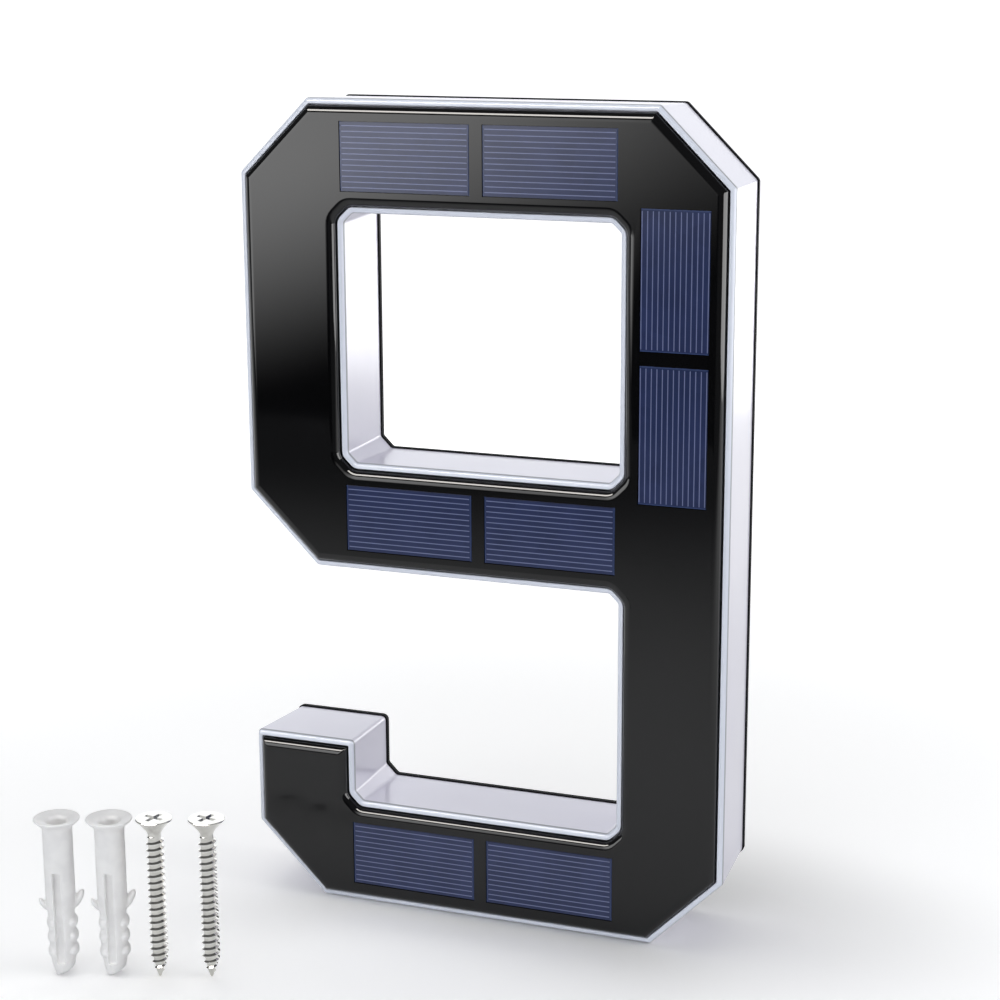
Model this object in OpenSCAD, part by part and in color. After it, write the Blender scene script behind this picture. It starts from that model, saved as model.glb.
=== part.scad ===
// Illuminated house number sign: the numeral 9 as a solar light that stands on its lower edge,
// with the two screws and two wall plugs that fix it to a wall.
// Millimetres. +Z is up, +X is to the right seen from the front, and the front faces -Y.
// The origin is on the floor, under the middle of the numeral's foot.
// Depths are counted from the wall: 0 is the back face, and larger depths lie nearer the front.

/* [Numeral] */
// Height of the whole numeral
figure_height = 180; // [170:1:240]
// Width of every stroke of the numeral
stroke_width = 24; // [23.5:0.5:30]
// Width of the two openings
opening_width = 61.5; // [56:0.5:90]
// Leg of the large 45 degree cut at five outer corners
corner_cut = 16; // [12:0.5:17]
// Leg of the small 45 degree cut at the inner corners
inner_cut = 2; // [1.4:0.1:4]
// How far the hook rises above the bottom stroke
hook_rise = 14; // [8:0.5:30]
// Rounding of each corner of the outline
corner_round = 1; // [0.3:0.1:1.4]

/* [Housing] */
// Depth from the back face to the front lip
body_depth = 22; // [21.5:0.5:30]
// Width of the bright lip round the face panel
lip_width = 1.3; // [1:0.1:2]
// Rounding of the lip's outer edge
lip_round = 1.1; // [0.5:0.1:1.2]
// How far the side walls lean inwards from the lip to the back
side_draft = 1; // [0:0.1:1.1]
// Distance from the outline at the lip to the inside of the side wall
cavity_inset = 2.8; // [2.6:0.1:3.2]
// Thickness of the wall behind the face panel, which is its ledge
ledge_thickness = 1.5; // [1:0.1:2]
// Radius of the bosses that take the cover screws
boss_radius = 2.6; // [2.2:0.1:3]

/* [Face panel] */
// How far the face stands proud of the lip
face_rise = 1.5; // [0.8:0.1:2.5]
// Width of the rounded bevel along the edges of the face
face_bevel = 1.9; // [0.8:0.1:2.5]
// Thickness of the face that sits inside the lip
face_seat = 2.5; // [2:0.1:3]
// Gap between the face and the lip
face_gap = 0.3; // [0.15:0.05:0.5]
// Thickness of the adhesive under the face
bond_thickness = 0.3; // [0.1:0.05:0.5]
// Width of the adhesive
bond_width = 3; // [2:0.1:4]
// Depth of the recess in the back of the face, which holds the cell ribbons
relief_depth = 1; // [0.7:0.1:1.2]

/* [Solar cells] */
// Length of a solar cell
cell_length = 29; // [20:0.5:32]
// Width of a solar cell
cell_width = 14.5; // [10:0.1:15]
// Thickness of a solar cell
cell_thickness = 1.2; // [0.8:0.1:1.4]
// Space between two cells of a pair
cell_space = 3; // [2:0.1:6]
// How far the cells lie below the face
cell_sink = 0.1; // [0:0.05:0.2]
// Clearance round a cell in its pocket
cell_clearance = 0.1; // [0.05:0.05:0.2]
// Width of the tinned ribbons behind the cells
ribbon_width = 2; // [1.5:0.1:3]

/* [Back cover] */
// Thickness of the back cover
cover_thickness = 1.5; // [1.2:0.1:2]
// Height of the rib that locates the cover inside the walls
rib_height = 1.5; // [1:0.1:2]
// Thickness of that rib
rib_thickness = 0.9; // [0.7:0.1:1.2]
// Thickness of the pad round each keyhole, the cover included
keyhole_length = 2.5; // [2:0.1:3]
// Radius of the round entry of a keyhole
keyhole_radius = 4.5; // [4.4:0.1:5]
// Width of the narrow part of a keyhole
keyhole_slot = 4.6; // [4.4:0.1:5]
// Distance from the entry of a keyhole to the end of its slot
keyhole_reach = 5.5; // [5:0.1:6]
// Depth of the closed pocket behind a keyhole
pocket_depth = 4.2; // [4:0.1:5]
// Wall of the pocket behind a keyhole
pocket_wall = 1; // [0.8:0.1:1.2]
// Section of the gasket under the cover's edge
gasket_width = 0.9; // [0.6:0.1:1]

/* [Light boards] */
// Width of the strips that carry the light-emitting diodes
strip_width = 8; // [6:0.5:9]
// Thickness of every circuit board
board_thickness = 1.2; // [0.8:0.1:1.6]
// Depth at which the strips lie, from the back face
strip_depth = 9; // [9:0.1:9.5]
// Length and width of a light-emitting diode
diode_size = 2.8; // [2:0.1:3.5]
// Distance between two diodes on a strip
diode_pitch = 14; // [10:0.5:20]

/* [Control board and switch] */
// Width of the control board
control_width = 15; // [13:0.5:16]
// Length of the control board
control_length = 44; // [40:1:50]
// Room for parts between the control board and the wall behind the face
control_room = 4.5; // [4:0.1:4.7]
// Radius of the push button
button_radius = 3; // [2.5:0.1:3.2]
// How far the button lies below the back face
button_sink = 0.6; // [0.4:0.1:0.9]
// Travel of the button
button_travel = 1.2; // [0.8:0.1:1.4]
// Clearance between the button and its hole
button_clearance = 0.2; // [0.1:0.05:0.3]

/* [Battery] */
// Least gap between the battery or its cradle and the walls round it
battery_gap = 1.2; // [1:0.1:2]
// Length of the battery
battery_length = 50; // [45:1:52]

/* [Wall fixings] */
// Length of a wall plug
plug_length = 35; // [30:1:45]
// Radius of a wall plug
plug_radius = 3.5; // [3:0.1:4]
// Radius of the collar of a wall plug
plug_collar = 5.4; // [5:0.1:6]
// Length of a wall screw
screw_length = 35.5; // [30:0.5:45]
// Outer radius of the screw's thread
screw_radius = 2.1; // [1.9:0.1:2.15]
// Radius of the screw's head
head_radius = 4.1; // [3.6:0.1:4.2]
// Distance of the first plug to the left of the numeral's middle
fixing_side = 73.5; // [70:0.5:90]
// Distance of the first plug in front of the numeral's middle
fixing_front = 66.5; // [60:0.5:90]

/* [Hidden] */

// Facets of round parts that a screw, a pin or a button depends on
$fn = 48;
// Overrun of every cut past the surface that it opens
over = 1;
// Small gap that keeps two pieces from sharing a face
hair = 0.05;

// Levels and half widths of the numeral
half_opening = opening_width / 2;
half_figure = half_opening + stroke_width;
opening_height = (figure_height - 3 * stroke_width) / 2;
hook_top = stroke_width + hook_rise;
middle_low = stroke_width + opening_height;
middle_high = middle_low + stroke_width;
top_low = middle_high + opening_height;
half_stroke = stroke_width / 2;
side_line = half_opening + half_stroke;
bottom_line = half_stroke;
middle_line = middle_low + half_stroke;
top_line = top_low + half_stroke;
hole_line = middle_high + opening_height / 2;
back_y = body_depth / 2;

// Corners of the numeral's outer outline, anticlockwise from the left end of the foot
outer_corners = [
    [-half_figure + corner_cut, 0],
    [half_figure - corner_cut, 0],
    [half_figure, corner_cut],
    [half_figure, figure_height - corner_cut],
    [half_figure - corner_cut, figure_height],
    [-half_figure + corner_cut, figure_height],
    [-half_figure, figure_height - corner_cut],
    [-half_figure, middle_low + corner_cut],
    [-half_figure + corner_cut, middle_low],
    [half_opening - inner_cut, middle_low],
    [half_opening, middle_low - inner_cut],
    [half_opening, stroke_width + inner_cut],
    [half_opening - inner_cut, stroke_width],
    [-half_opening + inner_cut, stroke_width],
    [-half_opening, stroke_width + inner_cut],
    [-half_opening, hook_top],
    [-half_figure, hook_top],
    [-half_figure, corner_cut]
];

// Corners of the closed counter, anticlockwise from its lower left
counter_corners = [
    [-half_opening + inner_cut, middle_high],
    [half_opening - inner_cut, middle_high],
    [half_opening, middle_high + inner_cut],
    [half_opening, top_low - inner_cut],
    [half_opening - inner_cut, top_low],
    [-half_opening + inner_cut, top_low],
    [-half_opening, top_low - inner_cut],
    [-half_opening, middle_high + inner_cut]
];

// Steps of the arc at each corner of an outline, and of each rounded edge
corner_steps = 4;
edge_steps = 6;
// Least rounding of an outer corner
least_round = 0.3;

// Depths of the layers, from the back face to the front
cover_fillet = 0.4;
wall_fillet = 0.3;
recess_floor = body_depth - face_seat - bond_thickness;
ledge_low = recess_floor - ledge_thickness;
face_back = recess_floor + bond_thickness;
relief_top = face_back + relief_depth;
face_front = body_depth + face_rise;
face_inset = lip_width + face_gap;
cell_low = face_front - cell_sink - cell_thickness;
pocket_floor = cell_low - hair;
ribbon_thickness = 0.3;
ribbon_low = relief_top - ribbon_thickness;

// Gasket groove and the rib that locates the cover
groove_depth = 0.8;
groove_clearance = 0.1;
rib_clearance = 0.3;
rib_inset = cavity_inset + rib_clearance;

// Cover screws and their bosses
boss_places = [for (x = [-side_line, side_line], z = [bottom_line, middle_line, top_line]) [x, z]];
cover_screw_radius = 1;
cover_screw_head = 1.9;
cover_screw_length = 9;
screw_clearance = 0.3;
boss_depth = 10;
thread_gap = 0.05;

// Keyholes, one in the top stroke and one in the bottom stroke
keyhole_places = [bottom_line, top_line];
keyhole_entry = -keyhole_reach / 2;
pocket_room = 0.3;
pocket_half = keyhole_radius + pocket_room;
pocket_floor_wall = 1;

// Strips: half lengths between the bosses, and the posts that carry the boards
strip_margin = 1.4;
strip_half = side_line - boss_radius - strip_margin;
left_strip_half = opening_height / 2 + half_stroke - boss_radius - strip_margin;
strip_front = strip_depth + board_thickness;
post_inset = 4;
post_radius = 2.2;
board_screw_radius = 0.8;
board_screw_head = 1.7;
board_screw_top = 1.1;
board_screw_length = 5;
diode_height = 0.8;
lens_radius = 1.1;
lens_height = 0.25;

// Control board
control_depth = ledge_low - control_room - board_thickness;
control_front = control_depth + board_thickness;
control_high = hole_line + control_length / 2;
control_low = hole_line - control_length / 2;
control_post = control_length / 2 - post_inset;

// Button, its well in the cover, its seal and the switch behind it
well_radius = 7;
well_depth = 2;
well_wall = 1.2;
well_web = 1.2;
well_floor = well_depth + well_web;
seal_section = 0.6;
seal_centre = button_radius + thread_gap + seal_section;
seal_seat = seal_centre + seal_section + thread_gap;
seal_wall = 1.1;
seal_room = 0.3;
seal_end = well_floor + 2 * seal_section + seal_room;
flange_radius = seal_seat + seal_wall / 2;
flange_gap = 0.1;
flange_low = seal_end + flange_gap;
flange_thickness = 0.8;
switch_half = 4;
travel_spare = 0.4;
switch_low = flange_low + flange_thickness + button_travel + travel_spare;
plunger_radius = 1.5;
plunger_clearance = 0.2;
plunger_share = 0.625;
plunger_length = plunger_share * (control_depth - switch_low);
button_edge = 0.4;

// Battery, as thick as the depth and the width of the stroke leave room for, and its cradle
cradle_wall = 0.8;
cradle_clearance = 0.2;
cradle_skin = cradle_clearance + cradle_wall;
depth_room = ledge_low - cover_thickness - cradle_skin - battery_gap;
width_room = stroke_width - 2 * (cavity_inset + cradle_skin + battery_gap);
battery_radius = min(depth_room, width_room) / 2;
cradle_radius = battery_radius + cradle_skin;
cradle_end = 1.2;
cradle_rise = 1;
cradle_foot = 3;
battery_depth = cover_thickness + cradle_radius;
battery_line = (bottom_line + middle_line) / 2;
battery_cap = 1;
battery_edge = 0.8;

// Wires: radius, sides, and where the runs lie
wire_radius = 0.45;
wire_sides = 8;
wire_pitch = 1.1;
steep_share = 0.9;
wire_gap = 0.15;
wire_side = battery_radius + wire_radius + wire_gap;
wire_drop = 2;
wire_depth = battery_depth + battery_radius - wire_drop;
pad_depth = strip_front + wire_radius + hair;
wire_rise = 0.8;
lead_rise = 2.3;
lead_depth = pad_depth + lead_rise;
control_pad_depth = control_depth - wire_radius - hair;
slot_offset = 6;
slot_line = control_high + slot_offset;
slot_width = 6;
slot_height = 3;

// Steps from one loose fixing to the next: within a pair, and from the plugs to the screws
pair_step = [10.3, 3.6];
group_step = [9.6, 1.9];
plug_places = [for (k = [0, 1]) [-fixing_side, -fixing_front] + k * pair_step];
screw_places = [for (k = [0, 1]) plug_places[1] + group_step + k * pair_step];

function unit(v) = v / norm(v);
function left_of(v) = [-v[1], v[0]];
function wrap(ring, i) = ring[(i + len(ring)) % len(ring)];

// Unit normal of the edge that starts at corner i, pointing into the material
function edge_normal(ring, i) = left_of(unit(wrap(ring, i + 1) - wrap(ring, i)));

// Inset of the edge that starts at corner i: the foot, edge 0 of a standing outline, never leans
function edge_inset(i, stands, even, lean) = even + (stands && i == 0 ? 0 : lean);

// Corner i after its two edges have moved inwards
function inset_corner(ring, i, stands, even, lean) =
    let (
        a = edge_normal(ring, i - 1),
        b = edge_normal(ring, i),
        before = edge_inset(i - 1, stands, even, lean),
        after = edge_inset(i, stands, even, lean),
        c = a * b
    )
    ring[i] + (a * (before - c * after) + b * (after - c * before)) / (1 - c * c);

// Arc that rounds corner i, tangent to its two edges: an even inset tightens it on an outer corner,
// down to the least rounding, and widens it on an inner one
function corner_arc(ring, i, stands, even, lean) =
    let (
        a = edge_normal(ring, i - 1),
        b = edge_normal(ring, i),
        turn = atan2(cross(a, b), a * b),
        side = sign(turn),
        start = atan2(a[1], a[0]),
        radius = side > 0 ? max(corner_round - even, least_round) : corner_round + even,
        centre = inset_corner(ring, i, stands, even, lean) + side * radius * (a + b) / (1 + a * b)
    )
    [for (k = [0:corner_steps])
        let (angle = start + turn * k / corner_steps)
        centre - side * radius * [cos(angle), sin(angle)]];

// Whole rounded outline, moved inwards by an even inset and by a lean that spares the foot
function outline(ring, stands, even, lean) =
    [for (i = [0:len(ring) - 1]) each corner_arc(ring, i, stands, even, lean)];

// How far a drafted wall leans inwards at a depth
function lean_at(depth) = side_draft * (body_depth - depth) / body_depth;

// Numbers of the arc points at corner i of the outer outline or, after all of those, of the counter
function outer_arc(i) = [for (k = [0:corner_steps]) i * (corner_steps + 1) + k];
function counter_arc(i) = [for (k = [corner_steps:-1:0]) (len(outer_corners) + i) * (corner_steps + 1) + k];
function first_of(arc) = min(arc);
function last_of(arc) = max(arc);
function middle_of(arc) = arc[ceil(corner_steps / 2)];
function without_last(arc) = [for (k = arc) if (k != last_of(arc)) k];

// The flat numeral cut into pieces whose first point sees all the others
cap_pieces = [
    concat([last_of(outer_arc(17))], outer_arc(0), outer_arc(13), outer_arc(14), outer_arc(15),
        outer_arc(16), without_last(outer_arc(17))),
    [last_of(outer_arc(0)), first_of(outer_arc(1)), last_of(outer_arc(12)), first_of(outer_arc(13))],
    concat([last_of(outer_arc(2))], outer_arc(11), outer_arc(12), outer_arc(1), without_last(outer_arc(2))),
    [last_of(outer_arc(2)), first_of(outer_arc(3)), last_of(outer_arc(10)), first_of(outer_arc(11))],
    [first_of(outer_arc(3)), first_of(counter_arc(3)), last_of(counter_arc(2))],
    concat([for (k = outer_arc(10)) if (k >= middle_of(outer_arc(10))) k], [first_of(outer_arc(3))],
        counter_arc(2), counter_arc(1), [for (k = outer_arc(10)) if (k < middle_of(outer_arc(10))) k]),
    concat([first_of(counter_arc(1)), last_of(counter_arc(0)), last_of(outer_arc(8))], outer_arc(9),
        [first_of(outer_arc(10))]),
    concat([last_of(outer_arc(7))], outer_arc(8), counter_arc(0), counter_arc(7),
        without_last(outer_arc(7))),
    [last_of(outer_arc(6)), first_of(outer_arc(7)), first_of(counter_arc(7)), last_of(counter_arc(6))],
    concat(outer_arc(6), counter_arc(6), counter_arc(5), outer_arc(5)),
    [last_of(outer_arc(4)), first_of(outer_arc(5)), first_of(counter_arc(5)), last_of(counter_arc(4))],
    concat([last_of(outer_arc(3))], outer_arc(4), counter_arc(4), counter_arc(3),
        without_last(outer_arc(3)))
];

// Solid numeral with its counter open, lofted through stations of [depth, even inset, lean].
// The stations follow the wall's profile from the middle of the back to the middle of the front.
module numeral(stations) {
    rings = [for (s = stations) concat(
        outline(outer_corners, true, s[1], s[2]), outline(counter_corners, false, -s[1], -s[2]))];
    n = len(outer_corners) * (corner_steps + 1);
    size = len(rings[0]);
    last = len(stations) - 1;
    points = [for (i = [0:last]) each [for (p = rings[i]) [p[0], back_y - stations[i][0], p[1]]]];
    outer_sides = [for (i = [0:last - 1], j = [0:n - 1])
        let (here = i * size + j, next = i * size + (j + 1) % n)
        each [[here, next + size, next], [here, here + size, next + size]]];
    counter_sides = [for (i = [0:last - 1], j = [0:size - n - 1])
        let (here = i * size + n + j, next = i * size + n + (j + 1) % (size - n))
        each [[here, next, next + size], [here, next + size, here + size]]];
    front_caps = [for (cap = cap_pieces)
        [for (j = [len(cap):-1:1]) last * size + cap[j % len(cap)]]];
    polyhedron(points, concat(outer_sides, counter_sides, cap_pieces, front_caps));
}

// Flat numeral, moved inwards all round
module flat_numeral(inset) {
    difference() {
        polygon(outline(outer_corners, true, inset, 0));
        polygon(outline(counter_corners, false, -inset, 0));
    }
}

// Band along every edge of the numeral, between two insets
module flat_band(inset, width) {
    difference() {
        flat_numeral(inset);
        flat_numeral(inset + width);
    }
}

// Flat shape in X and Z made solid between two depths
module layer(from, to) {
    translate([0, back_y - from, 0]) rotate([90, 0, 0]) linear_extrude(to - from) children();
}

// Straight round pin or hole at a place, between two depths
module peg(place, from, to, radius) {
    translate([place[0], back_y - from, place[1]]) rotate([90, 0, 0]) cylinder(r = radius, h = to - from);
}

// Profile of [radius, depth] points turned round the line of a place
module turned(place, profile) {
    translate([place[0], back_y, place[1]]) rotate([90, 0, 0]) rotate_extrude() polygon(profile);
}

// Rectangle with its middle at a place
module plate(place, size) {
    translate([place[0] - size[0] / 2, place[1] - size[1] / 2]) square(size);
}

// Stations of an edge rounded over a width and a height, from upright to flat
function rounded_edge(depth, inset, width, height) =
    [for (k = [0:edge_steps]) let (angle = 90 * k / edge_steps)
        [depth + height * sin(angle), inset + width * (1 - cos(angle)), 0]];

// Translucent moulding: drafted side walls with a rounded lip, the ledge behind the face, the groove
// for the gasket and the screw bosses
module diffuser_housing() {
    groove_top = cover_thickness + groove_depth;
    groove_inset = cavity_inset - gasket_width - groove_clearance;
    pilot_end = cover_thickness + boss_depth;
    walls = concat(
        [
            [ledge_low, cavity_inset, 0],
            [groove_top, cavity_inset, 0],
            [groove_top, groove_inset, 0],
            [cover_thickness, groove_inset, 0],
            [cover_thickness, wall_fillet, lean_at(cover_thickness)],
            [cover_thickness + wall_fillet, 0, lean_at(cover_thickness + wall_fillet)]
        ],
        rounded_edge(body_depth - lip_round, 0, lip_round, lip_round),
        [[body_depth, lip_width, 0], [recess_floor, lip_width, 0]]
    );
    color("lavender") difference() {
        union() {
            numeral(walls);
            for (place = boss_places)
                peg(place, cover_thickness + thread_gap, ledge_low + ledge_thickness / 2, boss_radius);
        }
        for (place = boss_places)
            peg(place, cover_thickness - over, pilot_end, cover_screw_radius + thread_gap);
        layer(ledge_low - over, recess_floor + over)
            plate([side_line, slot_line], [slot_width, slot_height]);
    }
}

// Where the cells lie: middle of each cell, and whether it stands upright
pair_offset = (cell_length + cell_space) / 2;
top_left_cell = [-pair_offset, top_line];
top_right_cell = [pair_offset, top_line];
right_upper_cell = [side_line, hole_line + pair_offset];
right_lower_cell = [side_line, hole_line - pair_offset];
middle_left_cell = [-pair_offset, middle_line];
middle_right_cell = [pair_offset, middle_line];
bottom_left_cell = [-pair_offset, bottom_line];
bottom_right_cell = [pair_offset, bottom_line];
lying_cells = [top_left_cell, top_right_cell, middle_left_cell, middle_right_cell,
    bottom_left_cell, bottom_right_cell];
standing_cells = [right_upper_cell, right_lower_cell];

// The two solder points of a cell, near the ends of its length
terminal_inset = 3;
terminal_reach = cell_length / 2 - terminal_inset;
terminal_radius = 0.9;
pin_radius = 0.6;
function across(cell, side) = cell + [side * terminal_reach, 0];
function along(cell, side) = cell + [0, side * terminal_reach];

// Hole for a cell's solder pin, from the relief to the cell's pocket
module terminal_hole(place) {
    peg(place, relief_top - over, pocket_floor + over, terminal_radius);
}

// Glossy black front with rounded edges, eight pockets for the cells and a relieved back
module face_panel() {
    room = 2 * cell_clearance;
    color("#1a1a1c") difference() {
        numeral(concat(
            [
                [relief_top, face_inset + bond_width, 0],
                [face_back, face_inset + bond_width, 0],
                [face_back, face_inset, 0]
            ],
            rounded_edge(body_depth, face_inset, face_bevel, face_rise)
        ));
        layer(pocket_floor, face_front + over) {
            for (cell = lying_cells) plate(cell, [cell_length + room, cell_width + room]);
            for (cell = standing_cells) plate(cell, [cell_width + room, cell_length + room]);
        }
        for (side = [-1, 1]) {
            for (cell = lying_cells) terminal_hole(across(cell, side));
            for (cell = standing_cells) terminal_hole(along(cell, side));
        }
    }
}

// Adhesive between the face and the ledge, one closed band along each outline
module face_bond() {
    color("gainsboro") layer(recess_floor, face_back) flat_band(face_inset, bond_width);
}

// One laminated cell: dark blue silicon under clear resin with a chamfered rim
module solar_cell(place, size) {
    rim = cell_thickness / 6;
    color("#2b3a66") {
        layer(cell_low, cell_low + cell_thickness - rim) plate(place, size);
        layer(cell_low + cell_thickness - rim, cell_low + cell_thickness) plate(place, size - [rim, rim]);
    }
}

module cell_top_left() { solar_cell(top_left_cell, [cell_length, cell_width]); }
module cell_top_right() { solar_cell(top_right_cell, [cell_length, cell_width]); }
module cell_right_upper() { solar_cell(right_upper_cell, [cell_width, cell_length]); }
module cell_right_lower() { solar_cell(right_lower_cell, [cell_width, cell_length]); }
module cell_middle_left() { solar_cell(middle_left_cell, [cell_length, cell_width]); }
module cell_middle_right() { solar_cell(middle_right_cell, [cell_length, cell_width]); }
module cell_bottom_left() { solar_cell(bottom_left_cell, [cell_length, cell_width]); }
module cell_bottom_right() { solar_cell(bottom_right_cell, [cell_length, cell_width]); }

// Flat ribbon that runs across and then up or down, with a solder pin at each end and its bend, if it
// has one, cut off at 45 degrees
module ribbon(from, to) {
    corner = [to[0], from[1]];
    run = to - from;
    tip = corner + ribbon_width / 2 * [sign(run[0]), -sign(run[1])];
    layer(ribbon_low, relief_top) difference() {
        union() {
            plate((from + corner) / 2, [abs(run[0]) + ribbon_width, ribbon_width]);
            plate((corner + to) / 2, [ribbon_width, abs(run[1]) + ribbon_width]);
        }
        if (run[0] * run[1] != 0) translate(tip) rotate(45) square(ribbon_width / sqrt(2), center = true);
    }
    for (place = [from, to]) peg(place, ribbon_low, cell_low, pin_radius);
}

// Tinned ribbons that join the eight cells in a chain behind the face
module cell_ribbons() {
    color("silver") {
        ribbon(across(top_left_cell, 1), across(top_right_cell, -1));
        ribbon(across(top_right_cell, 1), along(right_upper_cell, 1));
        ribbon(along(right_upper_cell, -1), along(right_lower_cell, 1));
        ribbon(across(middle_right_cell, 1), along(right_lower_cell, -1));
        ribbon(across(middle_left_cell, 1), across(middle_right_cell, -1));
        ribbon(across(bottom_left_cell, 1), across(bottom_right_cell, -1));
    }
}

// Circuit board with two fixing holes on its long axis
module board(place, size, hole_offset, depth) {
    layer(depth, depth + board_thickness) difference() {
        plate(place, size);
        for (side = [-1, 1])
            translate(place + side * hole_offset) circle(r = board_screw_radius + screw_clearance);
    }
}

// The four light strips: middle, half length, and direction of the long axis
strips = [
    [[0, top_line], strip_half, [1, 0]],
    [[-side_line, hole_line], left_strip_half, [0, 1]],
    [[0, middle_line], strip_half, [1, 0]],
    [[0, bottom_line], strip_half, [1, 0]]
];
function strip_size(strip) = 2 * strip[1] * strip[2] + strip_width * [strip[2][1], strip[2][0]];
function strip_hole(strip) = (strip[1] - post_inset) * strip[2];

module led_strip(i) {
    color("white") board(strips[i][0], strip_size(strips[i]), strip_hole(strips[i]), strip_depth);
}

module led_strip_top() { led_strip(0); }
module led_strip_left() { led_strip(1); }
module led_strip_middle() { led_strip(2); }
module led_strip_bottom() { led_strip(3); }

// One surface-mounted diode with its round lens
module diode(place, low) {
    layer(low, low + diode_height) plate(place, [diode_size, diode_size]);
    peg(place, low + diode_height, low + diode_height + lens_height, lens_radius);
}

// The diodes of all four strips
module led_chips() {
    color("khaki") for (strip = strips) {
        count = floor((strip[1] - 2 * post_inset) / diode_pitch);
        for (k = [-count:count]) diode(strip[0] + k * diode_pitch * strip[2], strip_front);
    }
}

control_place = [side_line, hole_line];

// Board that charges the battery by day and lights the diodes after dark
module control_board() {
    color("seagreen")
        board(control_place, [control_width, control_length], [0, control_post], control_depth);
}

// Parts soldered to the front of the control board
chip_size = [5, 4];
chip_height = 1.6;
coil_radius = 2.6;
coil_height = 2.4;
socket_size = [6, 4.5];
socket_height = 2;
row_step = 8;

module board_components() {
    color("#303034") {
        layer(control_front, control_front + chip_height) plate(control_place + [0, row_step], chip_size);
        layer(control_front, control_front + chip_height) plate(control_place, chip_size);
        peg(control_place - [0, row_step], control_front, control_front + coil_height, coil_radius);
        peg(control_place - [coil_radius, row_step + 2 * coil_radius], control_front,
            control_front + coil_height, coil_radius / 2);
        layer(control_front, control_front + socket_height)
            plate(control_place + [0, row_step + socket_size[1]], socket_size);
    }
}

// Bore of the switch, in which the button's plunger ends short of its floor
plunger_floor = switch_low + plunger_length;
plunger_end = plunger_floor - button_travel - plunger_clearance;

// Push switch soldered to the back of the control board, with the bore for the button's plunger
module switch_body() {
    color("dimgray") difference() {
        layer(switch_low, control_depth) plate(control_place, [2 * switch_half, 2 * switch_half]);
        peg(control_place, switch_low - over, plunger_floor, plunger_radius + plunger_clearance);
    }
}

// Button that is pressed from the back: cap, retaining flange and plunger
module switch_button() {
    color("#28282a") turned(control_place, [
        [0, button_sink],
        [button_radius - button_edge, button_sink],
        [button_radius, button_sink + button_edge],
        [button_radius, flange_low],
        [flange_radius, flange_low],
        [flange_radius, flange_low + flange_thickness],
        [plunger_radius, flange_low + flange_thickness],
        [plunger_radius, plunger_end],
        [0, plunger_end]
    ]);
}

// Rubber ring that keeps rain out round the button
module switch_seal() {
    seal_y = back_y - well_floor - seal_section - hair;
    color("black") translate([control_place[0], seal_y, control_place[1]])
        rotate([90, 0, 0]) rotate_extrude() translate([seal_centre, 0]) circle(r = seal_section);
}

// Rechargeable cell with its raised positive cap, upright in the right stroke
module battery() {
    half = battery_length / 2;
    color("mediumseagreen") translate([side_line, back_y - battery_depth, battery_line - half])
        rotate_extrude() polygon([
            [0, 0],
            [battery_radius - battery_edge, 0],
            [battery_radius, battery_edge],
            [battery_radius, battery_length - battery_cap - battery_edge],
            [battery_radius - battery_edge, battery_length - battery_cap],
            [battery_radius / 3, battery_length - battery_cap],
            [battery_radius / 3, battery_length],
            [0, battery_length]
        ]);
}

// Half pipe that the battery lies in, closed at both ends and glued to the cover
module battery_cradle() {
    inside = battery_length / 2 + cradle_clearance;
    outside = inside + cradle_end;
    color("whitesmoke") translate([side_line, back_y - battery_depth, battery_line]) difference() {
        union() {
            translate([0, 0, -outside]) cylinder(r = cradle_radius, h = 2 * outside);
            translate([-cradle_foot, 0, -outside]) cube([2 * cradle_foot, cradle_radius, 2 * outside]);
        }
        translate([0, 0, -inside]) cylinder(r = battery_radius + cradle_clearance, h = 2 * inside);
        translate([-cradle_radius - over, -cradle_radius - over - cradle_rise, -outside - over])
            cube([2 * (cradle_radius + over), cradle_radius + over, 2 * (outside + over)]);
    }
}

// Insulated wire along points of [across, depth, up]
module wire(path) {
    points = [for (p = path) [p[0], back_y - p[1], p[2]]];
    last = len(points) - 1;
    rings = [for (i = [0:last])
        let (
            back = unit(points[i] - points[max(i - 1, 0)] + points[min(i + 1, last)] - points[i]),
            side = unit(cross(back, abs(back[1]) > steep_share ? [1, 0, 0] : [0, 1, 0])),
            rise = cross(side, back)
        )
        [for (k = [0:wire_sides - 1]) let (angle = 360 * k / wire_sides)
            points[i] + wire_radius * (side * cos(angle) + rise * sin(angle))]];
    sides = [for (i = [0:last - 1], k = [0:wire_sides - 1])
        let (here = i * wire_sides + k, next = i * wire_sides + (k + 1) % wire_sides)
        each [[here, next + wire_sides, next], [here, here + wire_sides, next + wire_sides]]];
    polyhedron([for (r = rings) each r], concat(
        [[for (k = [0:wire_sides - 1]) k]], sides,
        [[for (k = [wire_sides - 1:-1:0]) last * wire_sides + k]]));
}

// Two wires side by side, the second moved by a step
module wire_pair(path, step) {
    wire(path);
    wire([for (p = path) p + step]);
}

battery_top = battery_line + battery_length / 2;
battery_foot = battery_line - battery_length / 2;
bend = 3 * wire_radius;
lead_side = 5.5;
red_side = 4.4;
pad_inset = 1.5;

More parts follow.
